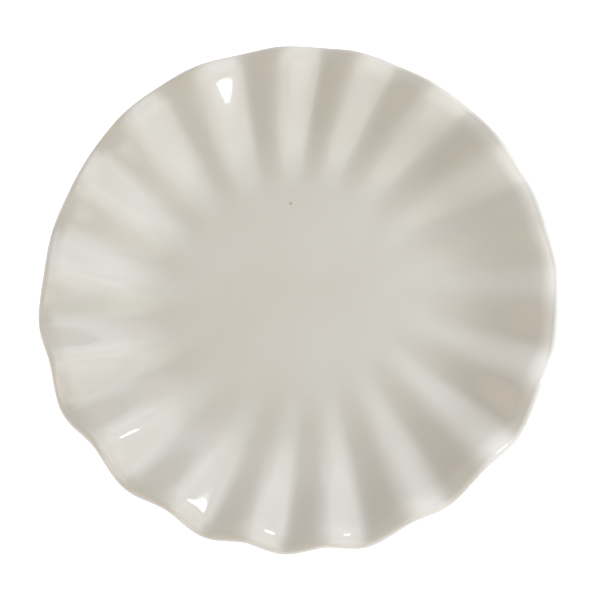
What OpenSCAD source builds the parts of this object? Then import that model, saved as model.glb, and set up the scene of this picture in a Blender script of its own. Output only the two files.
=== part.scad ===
// Scalloped dessert plate.
// A slab of clay pressed into a shallow dish with a soft fluted wall and a rounded lip,
// standing on a luted foot ring, with three separate coats of glaze. Millimetres, +Z up.
// Origin: the middle of the foot ring's resting face. +Y is the far side, -Y the near side.

/* [Plate] */
// Radius to the middle of the rounded lip, halfway between crests and valleys
rim_r = 100; // [92:1:110]
// Radius of the flat well, where the wall starts to rise
well_r = 49; // [46:0.5:52]
// Thickness of the glazed plate
wall_t = 4.8; // [4.2:0.1:5.4]

/* [Wall] */
// Steepest slope of the wall, rise over run
wall_slope = 0.59; // [0.45:0.01:0.75]
// Slope that is left at the lip, rise over run
lip_slope = 0.16; // [0.1:0.01:0.4]
// Where the wall is steepest, as a share of the rim radius
steep_at = 0.93; // [0.85:0.01:0.95]
// How far the face rolls down towards the lip, over the last twentieth of the radius
lip_roll = 0.6; // [0:0.1:0.8]
// How much higher the rim stands on its two high sides than on average
rim_warp = 2; // [0:0.1:2.5]
// How much longer the rim's long radius is than the mean one
out_of_round = 0.5; // [0:0.1:1]

/* [Flutes] */
// Number of flutes
flutes = 18; // [14:1:22]
// Half the height from valley to crest, at the lip
flute_h = 3.2; // [2:0.05:4]
// Radius where the flutes begin, on average
flute_start = 41.2; // [40:0.2:46]
// How much farther out they begin on the far side, and nearer the middle on the near side
start_shift = 5.6; // [0:0.2:6]
// How the flutes grow towards the lip: 1 is evenly, 2 is mostly near the lip
flute_growth = 1.32; // [1.3:0.02:2.2]
// Direction of the first valley at the lip, degrees from +X
flute_turn = 6.1; // [0:0.1:19.9]
// Twist of the flutes from the lip to the middle, degrees
flute_swirl = 7.7; // [0:0.1:12]
// How far the flutes lean to one side: 0 is even on both
flute_lean = -0.03; // [-0.1:0.01:0.1]
// How much narrower crests and valleys are than the slopes between them
flute_edge = 0.02; // [0:0.01:0.08]
// How uneven the hand pressing is: 0 makes all flutes alike
unevenness = 1; // [0:0.1:1.2]

/* [Foot] */
// Height of the foot, from the table to the clay of the well
foot_h = 4.2; // [3:0.1:6]
// Width of the foot ring
foot_w = 5.5; // [4:0.5:8]
// Thickness of the layer of clay slip that joins the foot ring
slip_t = 0.4; // [0.2:0.1:0.8]

/* [Glaze] */
// Thickness of a coat of glaze
glaze_t = 0.3; // [0.2:0.05:0.4]

/* [Hidden] */

clay = [0.80, 0.75, 0.67];
slip = [0.76, 0.70, 0.61];
glaze = [0.88, 0.86, 0.81];
glaze_under = [0.84, 0.82, 0.76];

// Hand-pressed unevenness, each as [waves per turn, direction of a peak, size].
// The first list moves the flutes sideways, in degrees.
spread_waves = [[1, 258, 0.49], [2, 44, 1.87], [3, 114.5, 0.43], [4, 59.7, 0.73], [5, 46.5, 0.37], [6, 2, 0.5]];
// The second makes some flutes deeper than others, as a share of the mean depth.
depth_waves = [[1, 197, 0.32], [2, 29, 0.15], [3, 73, 0.09], [4, 27.6, 0.11], [5, 31, 0.05], [6, 38.5, 0.06]];
// Where the twist is strongest, and by what share, and the same for the growth of the flutes
swirl_waves = [[1, 11, 0.85], [2, 133, 0.09]];
growth_waves = [[1, 219, 0.33], [2, 40, 0.15]];
// The last moves the rim in and out, in millimetres.
round_waves = [[4, 13, 0.32], [5, 56, 0.41], [6, 16, 0.12], [7, 29, 0.11], [9, 6, 0.17], [10, 1, 0.12]];

half_t = wall_t / 2;
clay_half = half_t - glaze_t;
mid_z = foot_h + clay_half;             // middle of the slab in the flat well
foot_ro = well_r - 2.5;
foot_ri = foot_ro - foot_w;
fillet = 1.4;                           // slip squeezed out of the joint
roll_at = 0.95;                         // where the face starts to roll down, as a share
points_per_flute = 8;
na = flutes * points_per_flute;         // points round the plate

// Rings of points: shares of the rim radius on the face and on the back
face_u = [0.4, 0.51, 0.61, 0.69, 0.77, 0.84, 0.91, 0.96, 1];
back_u = [1, 0.96, 0.91, 0.84, 0.77, 0.69, 0.61, 0.55, well_r / rim_r];

// A section of the plate is a list of [share of the rim radius, turn], where turn 0 is
// the face, 90 the outermost line of the lip and 180 the back.
face_rows = [for (u = face_u) [u, 0]];
back_rows = [for (u = back_u) [u, 180]];
lip_rows = [[1, 45], [1, 90], [1, 135]];

function clamp01(x) = max(0, min(1, x));
function total(v, i = 0) = i < len(v) ? v[i] + total(v, i + 1) : 0;
function waves(list, a) = unevenness * total([for (w = list) w[2] * cos(w[0] * (a - w[1]))]);

// The wall without its flutes: slope grows smoothly from the well to steep_at, then eases
// off to the lip. Rise is the integral of slope, as a share of the rim radius.
u_well = well_r / rim_r;
ease_len = 1.04 - steep_at;
function slope(u) = u < steep_at
    ? let (t = clamp01((u - u_well) / (steep_at - u_well)))
        wall_slope * (1 - pow(1 - t, 2) * (1 + 1.5 * t))
    : let (v = (u - steep_at) / ease_len)
        wall_slope - (wall_slope - lip_slope) * v * v * (3 - 2 * v);
function rise(u) =
    let (w = steep_at - u_well, t = clamp01((u - u_well) / w), v = max(0, (u - steep_at) / ease_len))
    wall_slope * w * (t * t / 4 + 2 * t * t * t / 3 - 3 * t * t * t * t / 8)
        + ease_len * (wall_slope * v - (wall_slope - lip_slope) * (v * v * v - v * v * v * v / 2));

// Middle of the slab at share u and direction a. Under the plate the flutes begin at the
// edge of the flat that carries the foot.
function mid(u, a, back) =
    let (
        b = a - (1 - u) * flute_swirl * (1 + waves(swirl_waves, a)),
        start = back ? well_r : flute_start + start_shift * cos(b - 97),
        phase = flutes * (b - flute_turn - waves(spread_waves, b)),
        t = max(0, (u - start / rim_r) / (1 - start / rim_r)),
        grow = flute_growth + waves(growth_waves, b),
        section = cos(phase) + flute_lean * sin(2 * phase) + flute_edge * cos(3 * phase),
        d = -flute_h * pow(t, grow) * (1 + waves(depth_waves, b)) * section,
        s = slope(u),
        n = sqrt(1 + s * s),
        w = clamp01((u - u_well) / (1 - u_well)),
        r = rim_r * u + pow(u, 3) * (out_of_round * cos(2 * (a - 57)) + waves(round_waves, a)) - d * s / n
    )
    [r * cos(a), r * sin(a),
     mid_z + rim_r * rise(u) + d / n + rim_warp * w * w * cos(2 * (a - 113))];

function unit(v) = v / norm(v);

// A point of the section [u, turn] at direction a, at distance k from the middle of the slab.
// The face comes closer to the middle towards the lip.
function skin(u, turn, a, k) =
    let (
        back = turn > 90,
        m = mid(u, a, back),
        along = mid(u, a + 0.2, back) - mid(u, a - 0.2, back),
        up = unit(cross(mid(u + 0.002, a, back) - mid(u - 0.002, a, back), along)),
        out = unit(cross(along, up)),
        thick = back ? k : k - lip_roll * pow(max(0, (u - roll_at) / (1 - roll_at)), 2)
    )
    (turn == 180 && u <= u_well + 0.0001)
        ? [rim_r * u * cos(a), rim_r * u * sin(a), mid_z - k]
        : m + thick * cos(turn) * up + k * sin(turn) * out;

function rows(list, k) = [for (s = list) for (j = [0 : na - 1]) skin(s[0], s[1], 360 * j / na, k)];

// Triangles between two neighbouring rings that start at points p and q
function band(p, q) = [for (j = [0 : na - 1])
    let (k = (j + 1) % na)
    each [[p + j, q + j, p + k], [p + k, q + j, q + k]]];
function flip(faces) = [for (f = faces) [f[2], f[1], f[0]]];
function bands(first, count) = [for (i = [0 : count - 2])
    each band(first + i * na, first + (i + 1) * na)];
function fan(centre, p) = [for (j = [0 : na - 1]) [centre, p + j, p + (j + 1) % na]];

// One coat over the rings of list, between distances k_in and k_out from the middle.
// With a middle point, both sides are closed there, otherwise by a strip.
module coat(list, k_in, k_out, closed_middle) {
    n = len(list);
    outer = rows(list, k_out);
    inner = rows(list, k_in);
    ends = closed_middle ? [[0, 0, mid_z + k_out], [0, 0, mid_z + k_in]] : [];
    polyhedron(
        points = concat(outer, inner, ends),
        faces = concat(
            bands(0, n),
            flip(bands(n * na, n)),
            band((n - 1) * na, (2 * n - 1) * na),
            closed_middle
                ? concat(fan(2 * n * na, 0), flip(fan(2 * n * na + 1, n * na)))
                : flip(band(0, n * na))
        ),
        convexity = 10
    );
}

// The fired slab: flat well, fluted wall, rounded lip, flat underside for the foot
module plate_body() {
    list = concat(face_rows, lip_rows, back_rows);
    n = len(list);
    color(clay)
        polyhedron(
            points = concat(rows(list, clay_half), [[0, 0, mid_z + clay_half], [0, 0, mid_z - clay_half]]),
            faces = concat(
                bands(0, n),
                fan(n * na, 0),
                flip(fan(n * na + 1, (n - 1) * na))
            ),
            convexity = 10
        );
}

// The foot ring, with a narrow flat resting face between two rounded edges
module foot_ring() {
    e = 1.2;
    arc = [for (i = [0 : 6]) i * 15];
    color(clay)
        rotate_extrude($fn = 180)
            polygon(concat(
                [[foot_ri, foot_h - slip_t]],
                [for (a = arc) [foot_ri + e - e * cos(a), e - e * sin(a)]],
                [for (a = arc) [foot_ro - e + e * sin(a), e - e * cos(a)]],
                [[foot_ro, foot_h - slip_t]]
            ));
}

// The slip between foot ring and body, with the small fillets that squeezed out
module luting_slip() {
    top = foot_h;
    low = foot_h - slip_t;
    f = [[0, 1.6], [0.25, 0.9], [0.7, 0.4], [1.2, 0.12], [fillet, 0]];
    color(slip)
        rotate_extrude($fn = 180)
            polygon(concat(
                [[foot_ri, low]],
                [for (p = f) [foot_ri - p[0], top - p[1]]],
                [for (i = [len(f) - 1 : -1 : 0]) [foot_ro + f[i][0], top - f[i][1]]],
                [[foot_ro, low]]
            ));
}

// Glaze on the eating side, from the middle of the well to the outermost line of the lip
module face_glaze() {
    color(glaze)
        coat(concat(face_rows, [[1, 45], [1, 90]]), clay_half, half_t, true);
}

// Glaze on the underside, from the outermost line of the lip to the bare strip at the foot
module back_glaze() {
    color(glaze_under)
        coat(concat([[1, 90], [1, 135]], back_rows), clay_half, half_t, false);
}

// The pool of glaze inside the foot ring
module base_glaze() {
    r = foot_ri - fillet - 0.8;
    color(glaze_under)
        rotate_extrude($fn = 180)
            polygon([
                [0, foot_h], [r, foot_h], [r - 0.2, foot_h - 0.6 * glaze_t],
                [r - 0.7, foot_h - glaze_t], [0, foot_h - glaze_t]
            ]);
}

plate_body();
foot_ring();
luting_slip();
face_glaze();
back_glaze();
base_glaze();
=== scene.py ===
# Scalloped dessert plate: glazed, fluted, on a bare foot ring.
import math

import bpy
import numpy as np
from mathutils import Matrix, Vector


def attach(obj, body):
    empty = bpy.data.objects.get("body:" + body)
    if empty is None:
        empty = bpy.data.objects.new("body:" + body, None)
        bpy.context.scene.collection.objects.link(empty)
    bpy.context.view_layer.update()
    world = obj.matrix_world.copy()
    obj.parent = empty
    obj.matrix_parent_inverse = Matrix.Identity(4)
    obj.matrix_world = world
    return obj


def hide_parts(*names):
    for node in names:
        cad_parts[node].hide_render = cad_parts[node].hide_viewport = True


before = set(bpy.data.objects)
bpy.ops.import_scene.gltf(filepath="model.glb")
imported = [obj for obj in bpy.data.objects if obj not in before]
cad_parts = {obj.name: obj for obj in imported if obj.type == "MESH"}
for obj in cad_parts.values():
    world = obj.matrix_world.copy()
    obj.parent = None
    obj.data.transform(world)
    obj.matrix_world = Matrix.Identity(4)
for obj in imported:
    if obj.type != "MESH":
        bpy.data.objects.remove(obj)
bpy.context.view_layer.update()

MM = 0.001
TAU = 2 * math.pi

# ---------------------------------------------------------------- sizes, as in the CAD
R = 100.0            # radius to the middle of the lip
WELL = 0.49          # share of R where the wall starts
STEEP = 0.93         # share of R where the wall is steepest
WALL_SLOPE = 0.59
LIP_SLOPE = 0.16
LIP_ROLL = 0.6       # how far the face rolls down towards the lip
ROLL_AT = 0.95
WARP = 2.0
OUT_OF_ROUND = 0.5
NF = 18
FLUTE_H = 3.2
FLUTE_START = 41.2
START_SHIFT = 5.6
GROWTH = 1.32
LEAN = -0.03
EDGE = 0.02
TURN = 6.1
SWIRL = 7.7
SPREAD = [(1, 258, 0.49), (2, 44, 1.87), (3, 114.5, 0.43), (4, 59.7, 0.73), (5, 46.5, 0.37), (6, 2, 0.5)]
DEPTH = [(1, 197, 0.32), (2, 29, 0.15), (3, 73, 0.09), (4, 27.6, 0.11), (5, 31, 0.05), (6, 38.5, 0.06)]
SWIRL_WAVES = [(1, 11, 0.85), (2, 133, 0.09)]
GROWTH_WAVES = [(1, 219, 0.33), (2, 40, 0.15)]
ROUND = [(4, 13, 0.32), (5, 56, 0.41), (6, 16, 0.12), (7, 29, 0.11), (9, 6, 0.17), (10, 1, 0.12)]
HALF = 2.4
GLAZE = 0.3
CLAY_HALF = HALF - GLAZE
FOOT_H = 4.2
MID_Z = FOOT_H + CLAY_HALF
FOOT_RO = WELL * R - 2.5
FOOT_RI = FOOT_RO - 5.5
SLIP_T = 0.4


def waves(table, deg):
    out = np.zeros_like(deg)
    for n, at, size in table:
        out = out + size * np.cos(np.radians(n * (deg - at)))
    return out


def slope(u):
    t = np.clip((u - WELL) / (STEEP - WELL), 0, 1)
    v = np.clip((u - STEEP) / (1.04 - STEEP), 0, None)
    return np.where(
        u < STEEP,
        WALL_SLOPE * (1 - (1 - t) ** 2 * (1 + 1.5 * t)),
        WALL_SLOPE - (WALL_SLOPE - LIP_SLOPE) * v * v * (3 - 2 * v),
    )


def rise(u):
    w = STEEP - WELL
    ease = 1.04 - STEEP
    t = np.clip((u - WELL) / w, 0, 1)
    v = np.clip((u - STEEP) / ease, 0, None)
    return WALL_SLOPE * w * (t * t / 4 + 2 * t**3 / 3 - 3 * t**4 / 8) + ease * (
        WALL_SLOPE * v - (WALL_SLOPE - LIP_SLOPE) * (v**3 - v**4 / 2)
    )


def mid(u, a, back):
    """Middle of the slab, in mm, at share u and direction a in degrees."""
    b = a - (1 - u) * SWIRL * (1 + waves(SWIRL_WAVES, a))
    start = WELL * R if back else FLUTE_START + START_SHIFT * np.cos(np.radians(b - 97))
    start = start / R
    grow = GROWTH + waves(GROWTH_WAVES, b)
    phase = np.radians(NF * (b - TURN - waves(SPREAD, b)))
    t = np.clip((u - start) / (1 - start), 0, None)
    section = np.cos(phase) + LEAN * np.sin(2 * phase) + EDGE * np.cos(3 * phase)
    d = -FLUTE_H * t**grow * (1 + waves(DEPTH, b)) * section
    s = slope(u)
    n = np.sqrt(1 + s * s)
    w = np.clip((u - WELL) / (1 - WELL), 0, 1)
    ar = np.radians(a)
    r = R * u + u**3 * (OUT_OF_ROUND * np.cos(2 * (ar - math.radians(57))) + waves(ROUND, a)) - d * s / n
    z = MID_Z + R * rise(u) + d / n + WARP * w * w * np.cos(2 * (ar - math.radians(113)))
    return np.stack([r * np.cos(ar), r * np.sin(ar), z], -1)


def unit(v):
    return v / np.linalg.norm(v, axis=-1, keepdims=True)


def skin(u, turn, a, k):
    """Points of the section (share u, turn in degrees) round directions a, k mm from the middle."""
    back = turn > 90
    u = np.full_like(a, u)
    m = mid(u, a, back)
    along = mid(u, a + 0.05, back) - mid(u, a - 0.05, back)
    du = mid(u + 0.0015, a, back) - mid(u - 0.0015, a, back)
    up = unit(np.cross(du, along))
    out = unit(np.cross(along, up))
    t = math.radians(turn)
    thick = k if back else k - LIP_ROLL * max(0.0, (u[0] - ROLL_AT) / (1 - ROLL_AT)) ** 2
    p = m + thick * math.cos(t) * up + k * math.sin(t) * out
    if turn == 180 and u[0] <= WELL + 1e-6:
        ar = np.radians(a)
        p = np.stack([R * u * np.cos(ar), R * u * np.sin(ar), np.full_like(a, MID_Z - k)], -1)
    return p


# ---------------------------------------------------------------- meshes
NA = 900
ANG = np.arange(NA) * 360.0 / NA


def make(name, verts, faces, material, slot, *nodes):
    me = bpy.data.meshes.new(name)
    me.from_pydata([tuple(v) for v in (np.asarray(verts) * MM)], [], faces)
    me.validate()
    me.update()
    me.shade_smooth()
    ob = bpy.data.objects.new(name, me)
    bpy.context.scene.collection.objects.link(ob)
    ob.data.materials.append(material)
    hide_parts(*nodes)
    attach(ob, "root")
    return ob


def band(p, q, n=NA):
    j = np.arange(n)
    k = (j + 1) % n
    return np.stack([p + j, q + j, q + k, p + k], 1).tolist()


def fan(c, p, n=NA):
    j = np.arange(n)
    return np.stack([np.full(n, c), p + j, p + (j + 1) % n], 1).tolist()


def flip(faces):
    return [f[::-1] for f in faces]


wall_u = [0.40 + 0.6 * i / 84 for i in range(84)] + [1.0]
FACE = [(u, 0.0) for u in wall_u]
LIP_FACE = [(1.0, 90.0 * i / 14) for i in range(1, 15)]
LIP_BACK = [(1.0, 90.0 + 90.0 * i / 12) for i in range(0, 13)]
BACK = [(u, 180.0) for u in [1 - (1 - WELL) * i / 56 for i in range(1, 57)]]
WELL_R = [2.0, 5.0, 9.0, 14.0, 19.0, 24.0, 29.0, 34.0, 37.5]


def rings(rows, k):
    return [skin(u, turn, ANG, k) for u, turn in rows]


def disc_rings(radii, z):
    ar = np.radians(ANG)
    return [np.stack([r * np.cos(ar), r * np.sin(ar), np.full(NA, z)], -1) for r in radii]


def stack_bands(first, count):
    out = []
    for i in range(count - 1):
        out += band(first + i * NA, first + (i + 1) * NA)
    return out


# ---------------------------------------------------------------- materials
def new_material(name):
    m = bpy.data.materials.new(name)
    m.use_nodes = True
    nt = m.node_tree
    nt.nodes.clear()
    out = nt.nodes.new("ShaderNodeOutputMaterial")
    bs = nt.nodes.new("ShaderNodeBsdfPrincipled")
    nt.links.new(bs.outputs["BSDF"], out.inputs["Surface"])
    return m, nt, bs


def noise(nt, coords, scale, detail=3.0, rough=0.5):
    n = nt.nodes.new("ShaderNodeTexNoise")
    n.inputs["Scale"].default_value = scale
    n.inputs["Detail"].default_value = detail
    n.inputs["Roughness"].default_value = rough
    nt.links.new(coords, n.inputs["Vector"])
    return n.outputs["Fac"]


def ramp(nt, fac, stops):
    r = nt.nodes.new("ShaderNodeValToRGB")
    el = r.color_ramp.elements
    while len(el) < len(stops):
        el.new(0.5)
    for e, (pos, col) in zip(el, stops):
        e.position = pos
        e.color = (*col, 1.0) if len(col) == 3 else col
    nt.links.new(fac, r.inputs["Fac"])
    return r.outputs["Color"]


def mapped(nt, value, lo, hi, to_lo, to_hi):
    n = nt.nodes.new("ShaderNodeMapRange")
    n.inputs["From Min"].default_value = lo
    n.inputs["From Max"].default_value = hi
    n.inputs["To Min"].default_value = to_lo
    n.inputs["To Max"].default_value = to_hi
    nt.links.new(value, n.inputs["Value"])
    return n.outputs["Result"]


def mix(nt, fac, a, b, mode="MIX"):
    n = nt.nodes.new("ShaderNodeMix")
    n.data_type = "RGBA"
    n.blend_type = mode
    for sock, val in ((n.inputs[0], fac), (n.inputs[6], a), (n.inputs[7], b)):
        if isinstance(val, (int, float)):
            sock.default_value = val
        elif isinstance(val, tuple):
            sock.default_value = (*val, 1.0)
        else:
            nt.links.new(val, sock)
    return n.outputs[2]


def bump(nt, bs, height, strength, distance):
    b = nt.nodes.new("ShaderNodeBump")
    b.inputs["Strength"].default_value = strength
    b.inputs["Distance"].default_value = distance
    nt.links.new(height, b.inputs["Height"])
    nt.links.new(b.outputs["Normal"], bs.inputs["Normal"])


def glaze_material(name, base, deep, thin, speck=None):
    """Glossy cream glaze: slightly uneven in colour, faintly wavy, with one iron speck if asked for."""
    m, nt, bs = new_material(name)
    co = nt.nodes.new("ShaderNodeTexCoord").outputs["Object"]
    cloud = noise(nt, co, 26.0, 3.0, 0.55)
    col = ramp(nt, cloud, [(0.32, deep), (0.52, base), (0.72, thin)])
    if speck:
        away = nt.nodes.new("ShaderNodeVectorMath")
        away.operation = "DISTANCE"
        away.inputs[1].default_value = speck
        nt.links.new(co, away.inputs[0])
        col = mix(nt, mapped(nt, away.outputs["Value"], 0.0002, 0.0008, 0.8, 0.0), col, (0.24, 0.19, 0.13))
    nt.links.new(col, bs.inputs["Base Color"])
    rough = mapped(nt, noise(nt, co, 60.0, 2.0), 0.3, 0.7, 0.06, 0.10)
    nt.links.new(rough, bs.inputs["Roughness"])
    bs.inputs["IOR"].default_value = 1.5
    wavy = noise(nt, co, 70.0, 2.0, 0.4)
    bump(nt, bs, wavy, 0.12, 0.0006)
    return m


def clay_material(name, base, dark, light):
    m, nt, bs = new_material(name)
    co = nt.nodes.new("ShaderNodeTexCoord").outputs["Object"]
    col = ramp(nt, noise(nt, co, 45.0, 5.0, 0.65), [(0.3, dark), (0.5, base), (0.72, light)])
    grog = noise(nt, co, 900.0, 2.0, 0.6)
    spots = ramp(nt, grog, [(0.66, (0, 0, 0)), (0.74, (1, 1, 1))])
    nt.links.new(mix(nt, spots, col, tuple(c * 0.55 for c in base)), bs.inputs["Base Color"])
    bs.inputs["Roughness"].default_value = 0.82
    bump(nt, bs, noise(nt, co, 1400.0, 4.0, 0.7), 0.5, 0.0003)
    return m


glaze = glaze_material(
    "cream_glaze", (0.470, 0.452, 0.415), (0.458, 0.438, 0.398), (0.480, 0.464, 0.430), (-0.0041, 0.0407, 0.0087)
)
# The glaze under the plate and in the foot is the face glaze painted darker and warmer: painted shade for the
# underside.
glaze_under = glaze_material("cream_glaze_painted_shade_under", (0.415, 0.395, 0.357), (0.395, 0.372, 0.330), (0.430, 0.412, 0.375))
clay = clay_material("bare_stoneware", (0.52, 0.43, 0.33), (0.46, 0.37, 0.28), (0.58, 0.49, 0.39))
slip_mat = clay_material("bare_slip", (0.47, 0.38, 0.29), (0.42, 0.34, 0.25), (0.52, 0.43, 0.33))

# ---------------------------------------------------------------- the six pieces
# Face glaze: a closed coat from the middle of the well over to the outermost line of the lip.
rows = FACE + LIP_FACE
outer = disc_rings(WELL_R, MID_Z + HALF) + rings(rows, HALF)
inner = disc_rings(WELL_R, MID_Z + CLAY_HALF) + rings(rows, CLAY_HALF)
n = len(outer)
verts = np.concatenate(outer + inner + [np.array([[0, 0, MID_Z + HALF], [0, 0, MID_Z + CLAY_HALF]])])
faces = (
    stack_bands(0, n)
    + flip(stack_bands(n * NA, n))
    + band((n - 1) * NA, (2 * n - 1) * NA)
    + fan(2 * n * NA, 0)
    + flip(fan(2 * n * NA + 1, n * NA))
)
face_piece = make("glaze_on_face", verts, faces, glaze, "glaze", "face_glaze")

# Back glaze: from there under the plate to the bare strip at the foot.
rows = LIP_BACK + BACK
outer = rings(rows, HALF)
inner = rings(rows, CLAY_HALF)
n = len(outer)
verts = np.concatenate(outer + inner)
faces = (
    stack_bands(0, n)
    + flip(stack_bands(n * NA, n))
    + band((n - 1) * NA, (2 * n - 1) * NA)
    + flip(band(0, n * NA))
)
back_piece = make("glaze_on_back", verts, faces, glaze_under, "glaze_under", "back_glaze")

# Clay slab
flat_r = [46.5, 43.0, 39.0, 34.0, 27.0, 18.0, 9.0]
parts = (
    disc_rings(WELL_R, MID_Z + CLAY_HALF)
    + rings(FACE + LIP_FACE + LIP_BACK[1:] + BACK, CLAY_HALF)
    + disc_rings(flat_r, MID_Z - CLAY_HALF)
)
n = len(parts)
verts = np.concatenate(parts + [np.array([[0, 0, MID_Z + CLAY_HALF], [0, 0, MID_Z - CLAY_HALF]])])
faces = stack_bands(0, n) + fan(n * NA, 0) + flip(fan(n * NA + 1, (n - 1) * NA))
body_piece = make("clay_slab", verts, faces, clay, "stoneware", "plate_body")


def turned(name, section, material, slot, node, wobble=0.0, seed=1):
    """A ring from a closed section of (radius, height) in mm, with a little hand-made unevenness."""
    ar = np.radians(ANG)
    loops = []
    for r, z, free in section:
        w = wobble * free * (np.sin(3 * ar + seed) * 0.5 + np.sin(7 * ar + 2.1 * seed) * 0.3 + np.sin(13 * ar + 0.7 * seed) * 0.2)
        loops.append(np.stack([(r + w) * np.cos(ar), (r + w) * np.sin(ar), np.full(NA, z)], -1))
    verts = np.concatenate(loops)
    m = len(loops)
    faces = []
    for i in range(m):
        faces += band(i * NA, ((i + 1) % m) * NA)
    return make(name, verts, faces, material, slot, node)


low = FOOT_H - SLIP_T
e = 1.2
arc = [math.radians(90 * i / 8) for i in range(9)]
section = [(FOOT_RI, low, 0.0)]
section += [(FOOT_RI, low - (low - e) * i / 4, 1.0) for i in range(1, 4)]
section += [(FOOT_RI + e - e * math.cos(a), e - e * math.sin(a), 1.0) for a in arc]
section += [(FOOT_RI + e + (FOOT_RO - FOOT_RI - 2 * e) * i / 5, 0.0, 0.0) for i in range(1, 5)]
section += [(FOOT_RO - e + e * math.sin(a), e - e * math.cos(a), 1.0) for a in arc]
section += [(FOOT_RO, e + (low - e) * i / 4, 1.0) for i in range(1, 4)]
section += [(FOOT_RO, low, 0.0)]
foot_piece = turned("foot", section[::-1], clay, "stoneware", "foot_ring", 0.08, 1)

f = [(0, 1.6), (0.10, 1.25), (0.25, 0.9), (0.45, 0.62), (0.7, 0.4), (0.95, 0.23), (1.2, 0.12), (1.4, 0.0)]
section = [(FOOT_RI, low, 0.0)]
section += [(FOOT_RI - p, FOOT_H - q, 1.0 if 0.05 < p < 1.3 else 0.0) for p, q in f]
section += [(FOOT_RO + p, FOOT_H - q, 1.0 if 0.05 < p < 1.3 else 0.0) for p, q in f[::-1]]
section += [(FOOT_RO, low, 0.0)]
slip_piece = turned("slip_joint", section, slip_mat, "slip", "luting_slip", 0.10, 3)

# Glaze pool inside the foot
rp = FOOT_RI - 1.4 - 0.8
ar = np.radians(ANG)
loops = [np.stack([r * np.cos(ar), r * np.sin(ar), np.full(NA, z)], -1) for r, z in [
    (rp * 0.25, FOOT_H), (rp * 0.6, FOOT_H), (rp, FOOT_H),
    (rp - 0.05, FOOT_H - 0.09), (rp - 0.2, FOOT_H - 0.18), (rp - 0.45, FOOT_H - 0.26), (rp - 0.8, FOOT_H - 0.3),
    (rp * 0.9, FOOT_H - 0.3), (rp * 0.7, FOOT_H - 0.3), (rp * 0.4, FOOT_H - 0.3), (rp * 0.15, FOOT_H - 0.3)]]
n = len(loops)
verts = np.concatenate(loops + [np.array([[0, 0, FOOT_H], [0, 0, FOOT_H - 0.3]])])
faces = stack_bands(0, n) + fan(n * NA, 0) + flip(fan(n * NA + 1, (n - 1) * NA))
pool_piece = make("glaze_in_foot", verts, faces, glaze_under, "glaze_under", "base_glaze")

# ---------------------------------------------------------------- floor, light, camera
scene = bpy.context.scene
fl = bpy.data.meshes.new("floor")
ring_n = 96
fv = [(0, 0, 0)]
ff = []
radii = [0.3, 0.8, 1.8, 4.0, 9.0]
for r in radii:
    fv += [(r * math.cos(TAU * i / ring_n), r * math.sin(TAU * i / ring_n), 0) for i in range(ring_n)]
for i in range(ring_n):
    ff.append((0, 1 + i, 1 + (i + 1) % ring_n))
for k in range(len(radii) - 1):
    for i in range(ring_n):
        a0 = 1 + k * ring_n + i
        a1 = 1 + k * ring_n + (i + 1) % ring_n
        ff.append((a0, a0 + ring_n, a1 + ring_n, a1))
fl.from_pydata(fv, [], ff)
fl.update()
floor = bpy.data.objects.new("floor", fl)
scene.collection.objects.link(floor)
fm, fnt, fbs = new_material("floor_paint")
fbs.inputs["Base Color"].default_value = (0.93, 0.93, 0.93, 1)
fbs.inputs["Roughness"].default_value = 0.9
fbs.inputs["Specular IOR Level"].default_value = 0.1
fbs.inputs["Emission Color"].default_value = (0.76, 0.82, 1.0, 1)
fbs.inputs["Emission Strength"].default_value = 0.46
floor.data.materials.append(fm)

world = bpy.data.worlds.new("studio")
scene.world = world
world.use_nodes = True
wnt = world.node_tree
background = wnt.nodes["Background"]
look = wnt.nodes.new("ShaderNodeTexCoord").outputs["Generated"]


def compass(az, el):
    """Direction from an azimuth, clockwise from +Y, and an elevation, in degrees."""
    az, el = math.radians(az), math.radians(el)
    return (math.sin(az) * math.cos(el), math.cos(az) * math.cos(el), math.sin(el))


def toward(az, el, lo, hi):
    """0 to 1 as the looked-at direction comes within lo to hi (cosines) of this one."""
    dot = wnt.nodes.new("ShaderNodeVectorMath")
    dot.operation = "DOT_PRODUCT"
    dot.inputs[1].default_value = compass(az, el)
    wnt.links.new(look, dot.inputs[0])
    n = wnt.nodes.new("ShaderNodeMapRange")
    n.interpolation_type = "SMOOTHSTEP"
    n.inputs["From Min"].default_value = lo
    n.inputs["From Max"].default_value = hi
    wnt.links.new(dot.outputs["Value"], n.inputs["Value"])
    return n.outputs["Result"]


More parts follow.
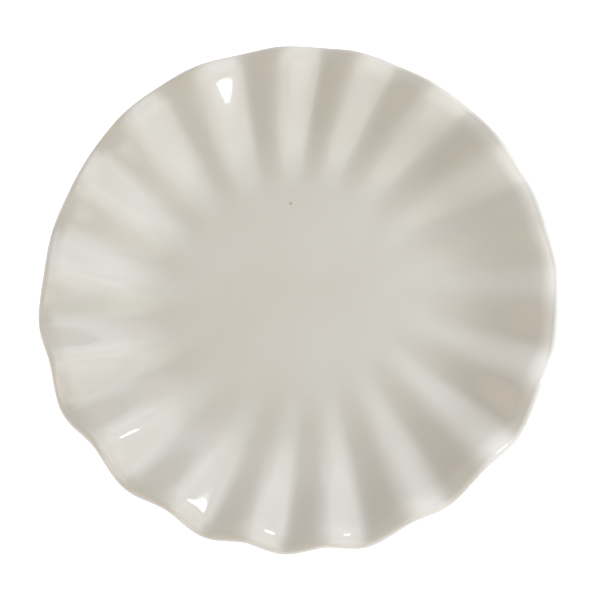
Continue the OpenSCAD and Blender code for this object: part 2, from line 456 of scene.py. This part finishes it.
# A pale, slightly warm room, with soft cool window light mostly from the right and the near right.
room = (0.574, 0.575, 0.500)
for az, el, lo, glow in (
    (30, 10, 0.86, (0.85, 0.915, 1.03)),
    (120, 10, 0.86, (1.19, 1.17, 1.26)),
    (180, 10, 0.86, (2.80, 2.33, 2.40)),
    (270, 10, 0.86, (1.55, 1.10, 0.86)),
    (15, 34, 0.83, (0.88, 0.82, 0.92)),
    (55, 34, 0.83, (1.05, 1.03, 1.12)),
    (95, 34, 0.83, (0.87, 0.88, 0.89)),
    (335, 34, 0.83, (0.435, 0.41, 0.545)),
    (72, 60, 0.83, (0.41, 0.465, 0.555)),
    (144, 60, 0.83, (1.11, 1.12, 1.03)),
):
    room = mix(wnt, toward(az, el, lo, 1.0), room, glow, "ADD")
wnt.links.new(room, background.inputs["Color"])
background.inputs["Strength"].default_value = 1.0


def area(name, direction, distance, size_x, size_y, power, roll=0.0, aim=(0, 0, 0.012), color=(1, 1, 1)):
    li = bpy.data.lights.new(name, "AREA")
    li.shape = "RECTANGLE"
    li.size = size_x
    li.size_y = size_y
    li.energy = power
    li.color = color
    ob = bpy.data.objects.new(name, li)
    scene.collection.objects.link(ob)
    d = Vector(direction).normalized()
    ob.location = Vector(aim) + d * distance
    turn = d.to_track_quat("Z", "Y").to_matrix().to_4x4()
    ob.rotation_euler = (turn @ Matrix.Rotation(roll, 4, "Z")).to_euler()
    ob.visible_camera = False
    return ob


# Key: one small tall softbox on the right, just above the rim, for the sharp highlights.
place = Vector((0.2027, 0.0190, 0.0680))
area("key", place, place.length, 0.026, 0.088, 0.195, math.radians(-18), (0, 0, MID_Z * MM), (0.755, 0.85, 1.0))

cam_data = bpy.data.cameras.new("cam")
cam = bpy.data.objects.new("cam", cam_data)
scene.collection.objects.link(cam)
CAM_EL = math.radians(74.9)
aim = Vector((0, 0, MID_Z * MM))
cam.location = aim + Vector((0, -math.cos(CAM_EL), math.sin(CAM_EL))) * 0.7
cam.rotation_euler = (aim - cam.location).to_track_quat("-Z", "Y").to_euler()
cam_data.sensor_width = 36.0
cam_data.lens = 248.2 * 7 * 36.0 / 600.0
cam_data.shift_x = -0.8 / 600.0
cam_data.shift_y = 1.35 / 600.0
cam_data.clip_start = 0.01
cam_data.clip_end = 50
scene.camera = cam

scene.view_settings.view_transform = "Standard"
scene.view_settings.look = "None"
scene.view_settings.exposure = 0.0
scene.view_settings.gamma = 1.0
